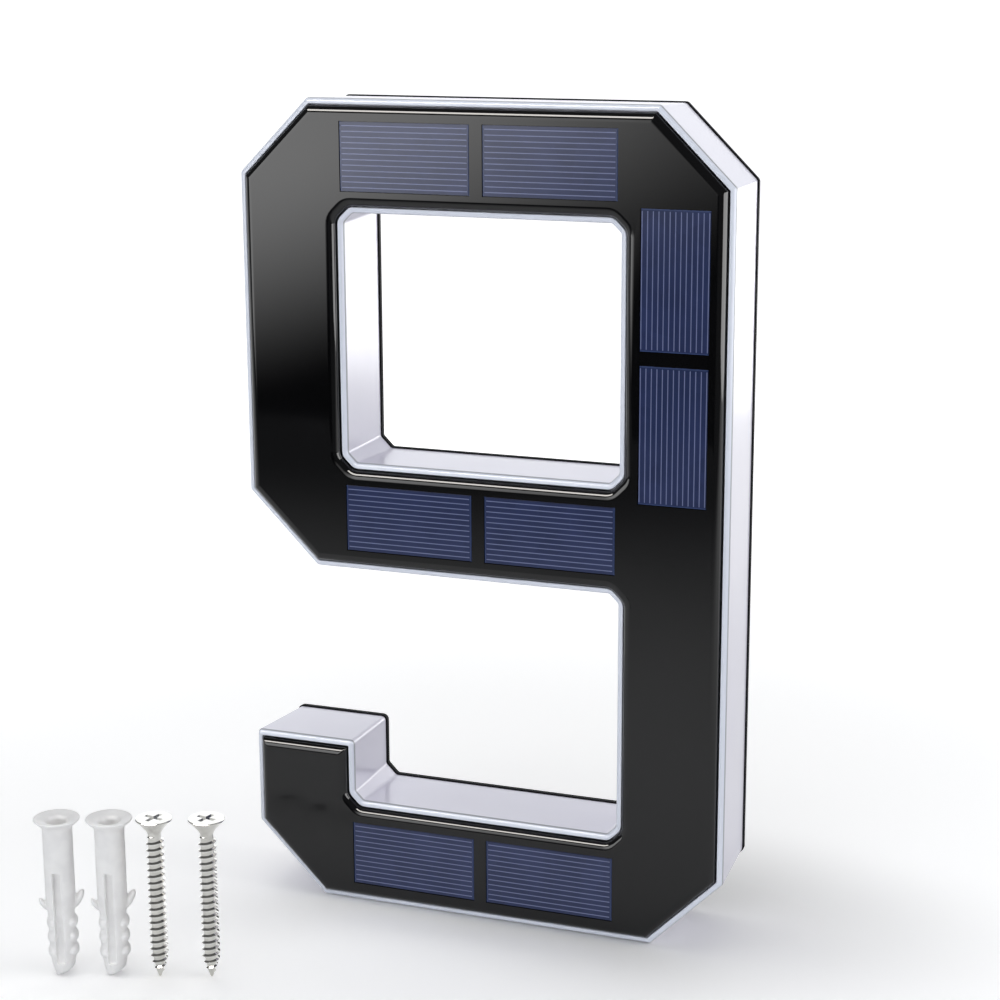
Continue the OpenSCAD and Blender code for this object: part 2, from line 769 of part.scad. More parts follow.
// Leads from both ends of the battery to the back of the control board
module battery_leads() {
    start = battery_depth + battery_radius / 2;
    color("red") wire([
        [side_line, start, battery_top + wire_radius],
        [side_line - bend, start, battery_top + bend],
        [side_line - red_side, lead_depth, battery_top + 3 * bend],
        [side_line - red_side, lead_depth, middle_line + lead_side],
        [side_line - red_side, control_pad_depth, control_low - bend],
        [side_line - red_side, control_pad_depth, control_low + bend]
    ]);
    color("black") wire([
        [side_line, start, battery_foot - wire_radius],
        [side_line + lead_side, wire_depth, battery_foot - bend],
        [side_line + wire_side, wire_depth, battery_foot + bend],
        [side_line + wire_side, wire_depth, battery_top + bend],
        [side_line + lead_side, lead_depth, middle_line + lead_side],
        [side_line + lead_side, control_pad_depth, control_low - bend],
        [side_line + lead_side, control_pad_depth, control_low + bend]
    ]);
}

// Leads that feed the strips one after the other from the control board
module led_leads() {
    end = strip_half - pad_inset;
    left_end = left_strip_half - pad_inset;
    pad = strip_width / 2 - pad_inset;
    way = (end + side_line - pad) / 2;
    color("gold") {
        wire_pair([
            [side_line - lead_side, control_pad_depth, control_high - bend],
            [side_line - lead_side, control_pad_depth, control_high + bend],
            [side_line - lead_side - wire_pitch, pad_depth + wire_rise, slot_line],
            [end - wire_pitch, pad_depth, top_line - pad]
        ], [wire_pitch, 0, 0]);
        wire_pair([
            [-end, pad_depth, top_line - pad],
            [-way, pad_depth + bend, (top_line - pad + hole_line + left_end) / 2],
            [-side_line + pad, pad_depth, hole_line + left_end]
        ], [wire_pitch, 0, -wire_pitch] / sqrt(2));
        wire_pair([
            [-side_line + pad, pad_depth, hole_line - left_end],
            [-way, pad_depth + bend, (middle_line + pad + hole_line - left_end) / 2],
            [-end, pad_depth, middle_line + pad]
        ], [wire_pitch, 0, wire_pitch] / sqrt(2));
        wire_pair([
            [end - wire_pitch, pad_depth, middle_line - pad],
            [side_line - wire_side, wire_depth, battery_top + bend],
            [side_line - wire_side, wire_depth, battery_foot - bend],
            [end - wire_pitch, pad_depth, bottom_line + pad]
        ], [wire_pitch, 0, 0]);
    }
}

// Leads from the cell ribbons through the slot in the ledge to the front of the control board
module solar_leads() {
    side = slot_width / 4;
    color("firebrick") wire_pair([
        [side_line - side, ribbon_low - wire_radius, slot_line],
        [side_line - side, ledge_low - bend, slot_line],
        [side_line - side, control_front + wire_radius + hair, control_high - bend]
    ], [2 * side, 0, 0]);
}

// Round entry of a keyhole and the slot above it, as a flat shape
module keyhole(line) {
    translate([0, line + keyhole_entry + keyhole_reach]) circle(r = keyhole_slot / 2);
    translate([-keyhole_slot / 2, line + keyhole_entry]) square([keyhole_slot, keyhole_reach]);
}

// Outside or inside of the closed pocket behind a keyhole
module pocket(line, wall) {
    low = keyhole_entry - pocket_half - wall;
    high = keyhole_entry + keyhole_reach + pocket_half + wall;
    translate([-pocket_half - wall, line + low]) square([2 * (pocket_half + wall), high - low]);
}

// Places of the posts that carry the strips and the control board: [place, height]
posts = concat(
    [for (strip = strips, side = [-1, 1]) [strip[0] + side * strip_hole(strip), strip_depth]],
    [for (side = [-1, 1]) [control_place + [0, side * control_post], control_depth]]
);

// Black back: plate, locating rib, keyhole pockets, posts, button well and countersunk screw holes
module back_cover() {
    plate_stations = [
        [0, cover_fillet, lean_at(0)],
        [cover_fillet, 0, lean_at(cover_fillet)],
        [cover_thickness, 0, lean_at(cover_thickness)]
    ];
    plate_top = cover_thickness - cover_fillet;
    rib_top = cover_thickness + rib_height;
    pocket_end = keyhole_length + pocket_depth;
    color("#222224") difference() {
        union() {
            numeral(plate_stations);
            difference() {
                layer(plate_top, rib_top) flat_band(rib_inset, rib_thickness);
                for (place = boss_places)
                    peg(place, cover_thickness, rib_top + over, boss_radius + rib_clearance);
            }
            for (line = keyhole_places)
                layer(plate_top, pocket_end + pocket_floor_wall) pocket(line, pocket_wall);
            for (post = posts) peg(post[0], plate_top, post[1], post_radius);
            peg(control_place, cover_fillet, well_floor, well_radius + well_wall);
            peg(control_place, well_depth, seal_end, seal_seat + seal_wall);
        }
        for (line = keyhole_places) {
            layer(-over, keyhole_length + hair) keyhole(line);
            peg([0, line + keyhole_entry], -over, keyhole_length + hair, keyhole_radius);
            layer(keyhole_length, pocket_end) pocket(line, 0);
        }
        for (post = posts)
            peg(post[0], post[1] - board_screw_length, post[1] + over, board_screw_radius + thread_gap);
        peg(control_place, -over, well_depth, well_radius);
        peg(control_place, 0, well_floor + over, button_radius + button_clearance);
        peg(control_place, well_floor, seal_end + over, seal_seat);
        for (place = boss_places) turned(place, [
            [0, -over],
            [cover_screw_head + over, -over],
            [cover_screw_radius + screw_clearance, plate_top],
            [cover_screw_radius + screw_clearance, cover_thickness + over],
            [0, cover_thickness + over]
        ]);
    }
}

// Soft ring in the groove of the housing's back edge, one loop along each outline
module back_gasket() {
    color("darkslategray") layer(cover_thickness, cover_thickness + groove_depth)
        flat_band(cavity_inset - gasket_width, gasket_width);
}

// Countersunk screw with a cross recess, from the back face towards the front
module cover_screw(place) {
    head_low = cover_fillet / 2;
    difference() {
        turned(place, [
            [0, head_low],
            [cover_screw_head, head_low],
            [cover_screw_radius, cover_thickness - cover_fillet],
            [cover_screw_radius, cover_screw_length - cover_screw_radius],
            [cover_screw_radius / 3, cover_screw_length],
            [0, cover_screw_length]
        ]);
        cross_recess(place, head_low, cover_screw_head);
    }
}

// Cross-shaped recess in a screw head that faces the wall
module cross_recess(place, low, head) {
    for (size = [[head, head / 4], [head / 4, head]])
        layer(low - over, low + head / 3) plate(place, size);
}

// The six screws that hold the cover on the housing
module cover_screws() {
    color("silver") for (place = boss_places) cover_screw(place);
}

// Pan-head screws that hold the strips and the control board on the posts
module board_screws() {
    color("silver") for (post = posts) {
        seat = post[1] + board_thickness;
        turned(post[0], [
            [0, post[1] - board_screw_length + board_screw_radius],
            [board_screw_radius, post[1] - board_screw_length + 2 * board_screw_radius],
            [board_screw_radius, seat],
            [board_screw_head, seat],
            [board_screw_head, seat + board_screw_top / 2],
            [board_screw_head - board_screw_top / 2, seat + board_screw_top],
            [0, seat + board_screw_top]
        ]);
    }
}

// Parts of a wall plug, from the tip upwards
plug_bore = 1.6;
plug_tip_share = 0.13;
plug_slot_share = 0.67;
plug_slot = 1.4;
tooth_share = 0.09;
tooth_count = 3;
tooth_depth = 0.45;
fin_share = 0.43;
fin_reach = 1.5;
fin_thickness = 1.2;
fin_height = 3.4;
collar_height = 1.9;
collar_rim = 0.5;
// The slot's plane is turned a little from the front, the teeth and fins lie square to it
plug_turn = -18;
tooth_sector = 100;

// Outline of one row of rounded teeth on a plug's side
function tooth_row(low, pitch) = concat(
    [[0, low]],
    [for (t = [0:tooth_count - 1], k = [0:edge_steps])
        let (share = k / edge_steps)
        [plug_radius - tooth_depth * (1 - sin(180 * share)), low + pitch * (t + share)]],
    [[0, low + pitch * tooth_count]]
);

// Nylon wall plug: dished collar, split barrel, two fins, teeth down both sides and a tapered tip
module wall_plug(place) {
    tip = plug_length * plug_tip_share;
    core = plug_radius - tooth_depth;
    slot_top = plug_length * plug_slot_share;
    pitch = plug_length * tooth_share;
    teeth_top = tip + pitch * tooth_count;
    barrel_top = plug_length - collar_height;
    color("#d8dadc") translate([place[0], place[1], 0]) rotate([0, 0, plug_turn]) difference() {
        union() {
            rotate_extrude() polygon([
                [0, 0],
                [core / 2, 0],
                [core, tip],
                [core, teeth_top],
                [plug_radius, teeth_top + pitch / 2],
                [plug_radius, barrel_top],
                [plug_collar, plug_length - collar_rim],
                [plug_collar, plug_length],
                [0, plug_length]
            ]);
            for (side = [0, 180]) rotate([0, 0, side]) {
                rotate([0, 0, -tooth_sector / 2]) rotate_extrude(angle = tooth_sector)
                    polygon(tooth_row(tip, pitch));
                translate([0, fin_thickness / 2, 0]) rotate([90, 0, 0])
                    linear_extrude(fin_thickness) polygon([
                    [core, plug_length * fin_share],
                    [plug_radius + fin_reach, plug_length * fin_share + fin_height],
                    [plug_radius + fin_reach - fin_thickness, plug_length * fin_share + fin_height],
                    [core, plug_length * fin_share + 2 * fin_thickness]
                ]);
            }
        }
        translate([-plug_slot / 2, -plug_collar, -over])
            cube([plug_slot, 2 * plug_collar, slot_top + over]);
        rotate_extrude() polygon([
            [0, tip],
            [plug_bore / 2, 2 * tip],
            [plug_bore, slot_top],
            [plug_bore, barrel_top],
            [plug_collar - 2 * collar_rim, plug_length + hair],
            [0, plug_length + hair]
        ]);
    }
}

module wall_plug_left() { wall_plug(plug_places[0]); }
module wall_plug_right() { wall_plug(plug_places[1]); }

// Parts of a wall screw, from the head downwards
head_rim = 0.4;
head_height = 2.6;
point_height = 3.6;
cross_length = 4.4;
cross_width = 1;
cross_depth = 1.8;

// Countersunk wall screw that stands on its point
module wall_screw(place) {
    color("#c9c9c4") translate([place[0], place[1], 0]) difference() {
        rotate_extrude() polygon([
            [0, 0],
            [screw_radius / 4, 0],
            [screw_radius, point_height],
            [screw_radius, screw_length - head_height],
            [head_radius, screw_length - head_rim],
            [head_radius, screw_length],
            [0, screw_length]
        ]);
        for (turn = [45, 135]) rotate([0, 0, turn])
            translate([-cross_length / 2, -cross_width / 2, screw_length - cross_depth])
                cube([cross_length, cross_width, cross_depth + over]);
    }
}

module wall_screw_left() { wall_screw(screw_places[0]); }
module wall_screw_right() { wall_screw(screw_places[1]); }

diffuser_housing();
face_panel();
face_bond();
cell_top_left();
cell_top_right();
cell_right_upper();
cell_right_lower();
cell_middle_left();
cell_middle_right();
cell_bottom_left();
cell_bottom_right();
cell_ribbons();
led_strip_top();
led_strip_left();
led_strip_middle();
led_strip_bottom();
led_chips();
control_board();
board_components();
switch_body();
switch_button();
switch_seal();
battery();
battery_cradle();
battery_leads();
led_leads();
solar_leads();
back_cover();
back_gasket();
cover_screws();
board_screws();
wall_plug_left();
wall_plug_right();
wall_screw_left();
wall_screw_right();
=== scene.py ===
import math

import bpy
from mathutils import Matrix, Vector


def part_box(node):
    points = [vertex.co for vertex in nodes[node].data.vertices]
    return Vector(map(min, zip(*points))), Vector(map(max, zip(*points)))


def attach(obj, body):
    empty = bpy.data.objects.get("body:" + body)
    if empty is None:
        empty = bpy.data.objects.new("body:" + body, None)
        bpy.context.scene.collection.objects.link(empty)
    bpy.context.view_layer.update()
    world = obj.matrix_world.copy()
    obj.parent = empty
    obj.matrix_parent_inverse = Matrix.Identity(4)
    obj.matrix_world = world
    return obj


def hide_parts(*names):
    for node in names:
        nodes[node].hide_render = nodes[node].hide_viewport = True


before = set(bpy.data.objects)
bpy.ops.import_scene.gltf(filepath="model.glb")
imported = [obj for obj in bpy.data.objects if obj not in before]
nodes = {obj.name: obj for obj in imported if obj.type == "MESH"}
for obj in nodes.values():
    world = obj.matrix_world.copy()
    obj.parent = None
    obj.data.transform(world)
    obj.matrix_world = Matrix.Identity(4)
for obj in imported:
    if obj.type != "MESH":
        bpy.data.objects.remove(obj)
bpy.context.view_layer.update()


# Camera. It stands in front of the sign, to the right and a little above its middle, as the photograph's
# did. A long lens without shift, so its place and its directions say everything.
CAMERA_PLACE = Vector((0.16842, -0.44531, 0.21086))
CAMERA_RIGHT = Vector((0.93595, 0.35213, -0.00388))
CAMERA_AIM = Vector((-0.34279, 0.90847, -0.23916))
CAMERA_LENS = 81.142
CAMERA_SENSOR = 36
CAMERA_NEAR = 0.01

camera_data = bpy.data.cameras.new("camera")
camera_data.lens = CAMERA_LENS
camera_data.sensor_width = CAMERA_SENSOR
camera_data.clip_start = CAMERA_NEAR
camera = bpy.data.objects.new("camera", camera_data)
bpy.context.scene.collection.objects.link(camera)
camera_up = CAMERA_RIGHT.cross(CAMERA_AIM).normalized()
turn = Matrix((CAMERA_RIGHT, camera_up, -CAMERA_AIM)).transposed()
camera.matrix_world = Matrix.Translation(CAMERA_PLACE) @ turn.to_4x4()
bpy.context.scene.camera = camera
bpy.context.scene.view_settings.view_transform = "Standard"


# Floor. White, keeping the sign's soft shadow, with painted shadow added round the foot, and running out into
# plain white.
# Shiny surfaces see it near the sign, and past that the dim room in front.
FLOOR_HALF = 12.0
FLOOR_SINK = 0.0002
FLOOR_COLOUR = (0.82, 0.82, 0.83)
FLOOR_SHOWN = (1.275, 1.27, 1.265)
# The painted shadow round the foot: an ellipse in the seen colour, darkest near its middle
SHADE_MIDDLE = (0.035, 0.010, 0.0)
SHADE_REACH = (0.088, 0.050, 1.0)
SHADE_START = 0.2
SHADE_END = 1.15
SHADE_NEAR = 0.74
SHADE_FAR = 1.06
GLOW_START = 0.12
GLOW_END = 0.50
GLOW_NEAR = 0.0
GLOW_FAR = 0.60
DIM_START = -0.12
DIM_END = -0.42
DIM_LEAST = 0.28
DIM_MOST = 1
WHITE = (1, 1, 1)


def new_node(tree, kind, **inputs):
    """A shader node with its inputs set. In their names an underscore stands for a space."""
    node = tree.nodes.new(kind)
    for name, value in inputs.items():
        node.inputs[name.replace("_", " ")].default_value = value
    return node


def calculate(tree, operation, a, b=0):
    """One step of arithmetic on numbers or on the outputs of nodes."""
    node = tree.nodes.new("ShaderNodeMath")
    node.operation = operation
    for socket, value in zip(node.inputs, (a, b)):
        if isinstance(value, (int, float)):
            socket.default_value = value
        else:
            tree.links.new(value, socket)
    return node.outputs[0]


def vector_step(tree, operation, a, b=None):
    """One step of arithmetic on places."""
    node = tree.nodes.new("ShaderNodeVectorMath")
    node.operation = operation
    tree.links.new(a, node.inputs[0])
    if b is not None:
        node.inputs[1].default_value = b
    return node.outputs["Value" if operation == "LENGTH" else "Vector"]


def fade(tree, value, low, high, first, last):
    """Goes smoothly from first to last while the value goes from low to high."""
    node = tree.nodes.new("ShaderNodeMapRange")
    node.interpolation_type = "SMOOTHSTEP"
    tree.links.new(value, node.inputs["Value"])
    for name, number in (("From Min", low), ("From Max", high), ("To Min", first), ("To Max", last)):
        node.inputs[name].default_value = number
    return node.outputs[0]


def either(tree, share, first, second):
    """A blend of two shaders: the first where the share is 0, and the second where it is 1."""
    node = tree.nodes.new("ShaderNodeMixShader")
    for socket, source in zip(node.inputs, (share, first.outputs[0], second.outputs[0])):
        tree.links.new(source, socket)
    return node


def place_on(tree):
    """Where each point of a piece lies, in metres in the sign's own frame."""
    return tree.nodes.new("ShaderNodeTexCoord").outputs["Object"]


def parts_of(tree, place):
    """The X, Y and Z of a place."""
    node = tree.nodes.new("ShaderNodeSeparateXYZ")
    tree.links.new(place, node.inputs[0])
    return node.outputs


bpy.ops.object.select_all(action="DESELECT")
bpy.ops.mesh.primitive_plane_add(size=2 * FLOOR_HALF, location=(0, 0, -FLOOR_SINK))
floor = bpy.context.object
floor.name = "floor"
floor_paint = bpy.data.materials.new("floor_white")
floor_paint.use_nodes = True
tree = floor_paint.node_tree
tree.nodes.clear()
path = tree.nodes.new("ShaderNodeLightPath")
place = place_on(tree)
# The paint that throws light back on the sign
paint = new_node(tree, "ShaderNodeBsdfDiffuse", Color=(*FLOOR_COLOUR, 1))
# The paint that is seen carries a painted shadow: it darkens towards an ellipse under the sign, round the
# foot
from_foot = vector_step(tree, "SUBTRACT", place, SHADE_MIDDLE)
in_reach = vector_step(tree, "DIVIDE", from_foot, SHADE_REACH)
ring = vector_step(tree, "LENGTH", in_reach)
painted_shadow = tree.nodes.new("ShaderNodeVectorMath")
painted_shadow.operation = "SCALE"
painted_shadow.inputs[0].default_value = FLOOR_SHOWN
shade = fade(tree, ring, SHADE_START, SHADE_END, SHADE_NEAR, SHADE_FAR)
tree.links.new(shade, painted_shadow.inputs["Scale"])
white = tree.nodes.new("ShaderNodeBsdfDiffuse")
tree.links.new(painted_shadow.outputs[0], white.inputs["Color"])
# Away from the sign it glows a little, until it is as white as the background
glow = new_node(tree, "ShaderNodeEmission", Color=(*WHITE, 1))
lift = fade(tree, vector_step(tree, "LENGTH", place), GLOW_START, GLOW_END, GLOW_NEAR, GLOW_FAR)
tree.links.new(lift, glow.inputs["Strength"])
shown = tree.nodes.new("ShaderNodeAddShader")
tree.links.new(white.outputs[0], shown.inputs[0])
tree.links.new(glow.outputs[0], shown.inputs[1])
seen = either(tree, path.outputs["Is Diffuse Ray"], shown, paint)
# For reflections it thins out in front of the sign, so that the gloss shows the dim room beyond
depth = parts_of(tree, place)["Y"]
thinned = fade(tree, depth, DIM_END, DIM_START, DIM_MOST, DIM_LEAST)
in_front = calculate(tree, "MULTIPLY", thinned, calculate(tree, "LESS_THAN", depth, 0))
clear = tree.nodes.new("ShaderNodeBsdfTransparent")
room = either(tree, calculate(tree, "MULTIPLY", in_front, path.outputs["Is Glossy Ray"]), seen, clear)
out = tree.nodes.new("ShaderNodeOutputMaterial")
tree.links.new(room.outputs[0], out.inputs["Surface"])
floor.data.materials.append(floor_paint)


# Daylight. An even pale sky that lights the sign from all round and is plain white to the camera.
# Shiny surfaces see a dim room instead, which is bright behind the sign.
SKY_COLOUR = (0.95, 0.97, 1.0)
SKY_LIGHT = 0.42
SKY_SHOWN = 1
SKY_GLOSS = 0.10
SKY_BEHIND = 1.5
BEHIND_START = 0.45
BEHIND_END = 0.75


def mixed(tree, share, first, second):
    """A colour between two. Each is three numbers or the output of a node."""
    node = tree.nodes.new("ShaderNodeMix")
    node.data_type = "RGBA"
    tree.links.new(share, node.inputs[0])
    for socket, colour in ((node.inputs[6], first), (node.inputs[7], second)):
        if isinstance(colour, tuple):
            socket.default_value = (*colour, 1)
        else:
            tree.links.new(colour, socket)
    return node.outputs[2]


world = bpy.data.worlds.new("daylight")
bpy.context.scene.world = world
world.use_nodes = True
tree = world.node_tree
tree.nodes.clear()
path = tree.nodes.new("ShaderNodeLightPath")
shown = calculate(tree, "MULTIPLY", path.outputs["Is Camera Ray"], SKY_SHOWN - SKY_LIGHT)
heading = parts_of(tree, tree.nodes.new("ShaderNodeTexCoord").outputs["Generated"])
dim = SKY_GLOSS - SKY_LIGHT
bright = SKY_BEHIND - SKY_LIGHT
room_light = fade(tree, heading["Y"], BEHIND_START, BEHIND_END, dim, bright)
shine = calculate(tree, "MULTIPLY", path.outputs["Is Glossy Ray"], room_light)
level = calculate(tree, "ADD", calculate(tree, "ADD", shown, shine), SKY_LIGHT)
sky = tree.nodes.new("ShaderNodeBackground")
tree.links.new(level, sky.inputs["Strength"])
tree.links.new(mixed(tree, path.outputs["Is Camera Ray"], SKY_COLOUR, WHITE), sky.inputs["Color"])
out = tree.nodes.new("ShaderNodeOutputWorld")
tree.links.new(sky.outputs[0], out.inputs["Surface"])


# Studio lamps. One overhead, one on the right and one in front.
# They light the sign, and its gloss doesn't show them.
def lamp(name, place, aim, size, watts, colour):
    data = bpy.data.lights.new(name, "AREA")
    data.shape = "RECTANGLE"
    data.size, data.size_y = size
    data.energy = watts
    data.color = colour
    light = bpy.data.objects.new(name, data)
    bpy.context.scene.collection.objects.link(light)
    light.location = place
    light.rotation_euler = (Vector(aim) - Vector(place)).to_track_quat("-Z", "Y").to_euler()
    light.visible_glossy = False


lamp("lamp_above", place=(-0.06, 0.10, 0.70), aim=(0, 0, 0.05), size=(0.70, 0.70), watts=1.6,
     colour=(1, 0.99, 0.97))
lamp("lamp_right", place=(0.75, 0.00, 0.38), aim=(0, 0, 0.11), size=(0.4, 0.5), watts=1.0,
     colour=(0.98, 0.98, 1))
lamp("lamp_front", place=(-0.05, -1.10, 0.20), aim=(0, 0, 0.09), size=(0.9, 0.35), watts=4.4,
     colour=(0.94, 0.97, 1))


# Pale screens. Four glowing cards that light nothing and that the camera doesn't see.
# They give the gloss of the face and of the metal something to show.
FRONT_STRENGTH = 3.7
FRONT_LOW = 0.012
FRONT_HIGH = 0.122
FRONT_SLOPE = 0.30
FRONT_SLOPE_FROM = -0.28
FRONT_LEFT = -0.30
FRONT_RIGHT = 0.06


def screen(name, corner, across, up, strength, colour):
    bpy.ops.object.select_all(action="DESELECT")
    bpy.ops.mesh.primitive_plane_add(size=1, location=(0, 0, 0))
    card = bpy.context.object
    card.name = name
    corner, across, up = Vector(corner), Vector(across), Vector(up)
    half = 0.5
    for vertex in card.data.vertices:
        vertex.co = corner + across * (vertex.co.x + half) + up * (vertex.co.y + half)
    card.visible_camera = False
    card.visible_diffuse = False
    card.visible_transmission = False
    card.visible_shadow = False
    light = bpy.data.materials.new(name)
    light.use_nodes = True
    tree = light.node_tree
    tree.nodes.clear()
    glow = new_node(tree, "ShaderNodeEmission", Color=(*colour, 1), Strength=strength)
    out = tree.nodes.new("ShaderNodeOutputMaterial")
    tree.links.new(glow.outputs[0], out.inputs["Surface"])
    card.data.materials.append(light)
    return tree, glow


tree, glow = screen("screen_front", corner=(-0.75, -0.50, 0.0), across=(0.80, 0, 0), up=(0, 0, 0.36),
                    strength=1, colour=WHITE)
# The front one fades towards its right end and its lower edge, along a line that rises to the right
place = parts_of(tree, place_on(tree))
slope = calculate(tree, "MULTIPLY", calculate(tree, "SUBTRACT", place["X"], FRONT_SLOPE_FROM), FRONT_SLOPE)
above = calculate(tree, "SUBTRACT", place["Z"], slope)
rise = fade(tree, above, FRONT_LOW, FRONT_HIGH, 0, FRONT_STRENGTH)
side = fade(tree, place["X"], FRONT_LEFT, FRONT_RIGHT, 1, 0)
tree.links.new(calculate(tree, "MULTIPLY", rise, side), glow.inputs["Strength"])
screen("screen_above", corner=(-0.60, -0.50, 0.55), across=(0.75, 0, 0), up=(0, 0.24, 0),
       strength=17, colour=(1, 0.96, 0.91))
screen("screen_right", corner=(0.46, -0.34, 0.04), across=(0, 0.9, 0), up=(0, 0, 0.45),
       strength=6, colour=WHITE)
screen("screen_back", corner=(0.06, 0.42, 0.038), across=(0.6, 0, 0), up=(0, 0, 0.125),
       strength=5.5, colour=WHITE)


# Diffuser housing: the translucent white moulding that glows at night, with side walls that lean in towards
# the back and a rounded lip round the face. Injection moulded in acrylic, satin outside.
HOUSING_LIGHT = (0.80, 0.785, 0.88)
HOUSING_DARK = (0.765, 0.75, 0.85)
# The lip's painted cooler tint, for the blue that it reflects
LIP_PAINTED_BLUE = (0.755, 0.785, 0.875)
LIP_LINE = -0.011
LIP_EASE = 0.00016
EASE_STEPS = 3
# The painted dark reflection line lies at this depth, and the lip's painted tint ends there
PAINTED_LINE_LEVEL = -0.01025
PAINTED_LINE_HALF = 0.00024
# The shares of its half width between which the line fades
PAINTED_LINE_CORE = 0.7
PAINTED_LINE_EDGE = 1.2
PAINTED_LINE_GREY = (0.42, 0.43, 0.46)
WELD_GAP = 0.000002
LEVEL_GAP = WELD_GAP * 5
FLAT_ANGLE = math.radians(0.2)
SMOOTH_ANGLE = math.radians(35)
SHARP_ANGLE = math.radians(60)
LARGE_FACES_LEAD = 100
PATCH_DETAIL = 3
PATCH_SPREAD = (0.35, 0.65)
GLOSS_SPREAD = (0.3, 0.7)
GRAIN_DETAIL = 2
COAT_ROUGHNESS = 0.04


def select_only(piece):
    bpy.ops.object.select_all(action="DESELECT")
    piece.select_set(True)
    bpy.context.view_layer.objects.active = piece


def ease_edges(piece, level):
    """Rounds the sharp edges that lie at one level of Y, finely, as a mould's edges are."""
    bpy.ops.object.mode_set(mode="EDIT")
    bpy.ops.mesh.select_all(action="DESELECT")
    bpy.ops.mesh.select_mode(type="EDGE")
    bpy.ops.mesh.edges_select_sharp(sharpness=SHARP_ANGLE)
    bpy.ops.object.mode_set(mode="OBJECT")
    mesh = piece.data
    chosen = []
    for edge in mesh.edges:
        ends = [mesh.vertices[i].co.y for i in edge.vertices]
        chosen.append(edge.select and all(abs(y - level) < LEVEL_GAP for y in ends))
    bpy.ops.object.mode_set(mode="EDIT")
    bpy.ops.mesh.select_all(action="DESELECT")
    bpy.ops.object.mode_set(mode="OBJECT")
    for edge, keep in zip(mesh.edges, chosen):
        edge.select = keep
    bpy.ops.object.mode_set(mode="EDIT")
    bpy.ops.mesh.bevel(offset=LIP_EASE, segments=EASE_STEPS, affect="EDGES")
    bpy.ops.object.mode_set(mode="OBJECT")


def dressed(node, name, eased=None):
    """A copy of a CAD node with its facets joined and its round edges shaded as one surface."""
    piece = bpy.data.objects.new(name, nodes[node].data.copy())
    bpy.context.scene.collection.objects.link(piece)
    piece.data.materials.clear()
    select_only(piece)
    bpy.ops.mesh.customdata_custom_splitnormals_clear()
    bpy.ops.object.mode_set(mode="EDIT")
    bpy.ops.mesh.select_all(action="SELECT")
    bpy.ops.mesh.remove_doubles(threshold=WELD_GAP)
    bpy.ops.mesh.dissolve_limited(angle_limit=FLAT_ANGLE)
    bpy.ops.object.mode_set(mode="OBJECT")
    if eased is not None:
        ease_edges(piece, eased)
    bpy.ops.object.shade_smooth_by_angle(angle=SMOOTH_ANGLE)
    even = piece.modifiers.new("even", "WEIGHTED_NORMAL")
    even.weight = LARGE_FACES_LEAD
    even.keep_sharp = True
    bpy.ops.object.modifier_apply(modifier=even.name)
    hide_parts(node)
    return piece


def finish_of(name, light, dark, gloss, patch, grain, relief, metal=0.0, coat=0.0):
    """A material whose colour and gloss drift a little over the surface, with a fine grain in relief.
    light and dark are colours, gloss the least and the most roughness. The size of the patches, the size of
    the grain and its relief are in metres."""
    material = bpy.data.materials.new(name)
    material.use_nodes = True
    tree = material.node_tree
    shader = tree.nodes["Principled BSDF"]
    shader.inputs["Metallic"].default_value = metal
    shader.inputs["Coat Weight"].default_value = coat
    shader.inputs["Coat Roughness"].default_value = COAT_ROUGHNESS
    place = place_on(tree)
    patches = new_node(tree, "ShaderNodeTexNoise", Scale=1 / patch, Detail=PATCH_DETAIL)
    grains = new_node(tree, "ShaderNodeTexNoise", Scale=1 / grain, Detail=GRAIN_DETAIL)
    tree.links.new(place, patches.inputs["Vector"])
    tree.links.new(place, grains.inputs["Vector"])
    colour = mixed(tree, fade(tree, patches.outputs[0], *PATCH_SPREAD, 0, 1), light, dark)
    tree.links.new(colour, shader.inputs["Base Color"])
    tree.links.new(fade(tree, patches.outputs[0], *GLOSS_SPREAD, *gloss), shader.inputs["Roughness"])
    bump = new_node(tree, "ShaderNodeBump", Distance=relief, Strength=1)
    tree.links.new(grains.outputs[0], bump.inputs["Height"])
    tree.links.new(bump.outputs[0], shader.inputs["Normal"])
    return material


def colour_of(material):
    """A material's nodes and shader, and the colour that the shader has so far."""
    tree = material.node_tree
    shader = tree.nodes["Principled BSDF"]
    return tree, shader, shader.inputs["Base Color"].links[0].from_socket


housing_plastic = finish_of("housing_plastic", light=HOUSING_LIGHT, dark=HOUSING_DARK, gloss=(0.19, 0.25),
                            patch=0.05, grain=0.0012, relief=0.0000008)
# Painted reflection: a fine dark line where the lip meets the walls, and the lip painted a little cooler
tree, shader, plain = colour_of(housing_plastic)
depth = parts_of(tree, place_on(tree))["Y"]
on_lip = fade(tree, depth, PAINTED_LINE_LEVEL - PAINTED_LINE_HALF, PAINTED_LINE_LEVEL, 1, 0)
lip_painted_blue = mixed(tree, on_lip, plain, LIP_PAINTED_BLUE)
away = calculate(tree, "ABSOLUTE", calculate(tree, "SUBTRACT", depth, PAINTED_LINE_LEVEL))
on_painted_line = fade(tree, away, PAINTED_LINE_HALF * PAINTED_LINE_CORE, PAINTED_LINE_HALF * PAINTED_LINE_EDGE, 1, 0)
tree.links.new(mixed(tree, on_painted_line, lip_painted_blue, PAINTED_LINE_GREY), shader.inputs["Base Color"])
housing = dressed("diffuser_housing", "diffuser_shell", eased=LIP_LINE)
housing.data.materials.append(housing_plastic)
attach(housing, "numeral")


# Face bond: the closed bands of acrylic adhesive that hold the face on the wall behind it.
# Die-cut from sheet, soft and slightly cloudy.
def paint_node(node, material):
    """Gives a CAD node, whose shape is right as it is, its finish."""
    mesh = nodes[node].data
    mesh.materials.clear()
    mesh.materials.append(material)


bond_film = finish_of("bond_film", light=(0.80, 0.80, 0.77), dark=(0.70, 0.70, 0.67), gloss=(0.45, 0.6),
                      patch=0.02, grain=0.0004, relief=0.00001)
paint_node("face_bond", bond_film)


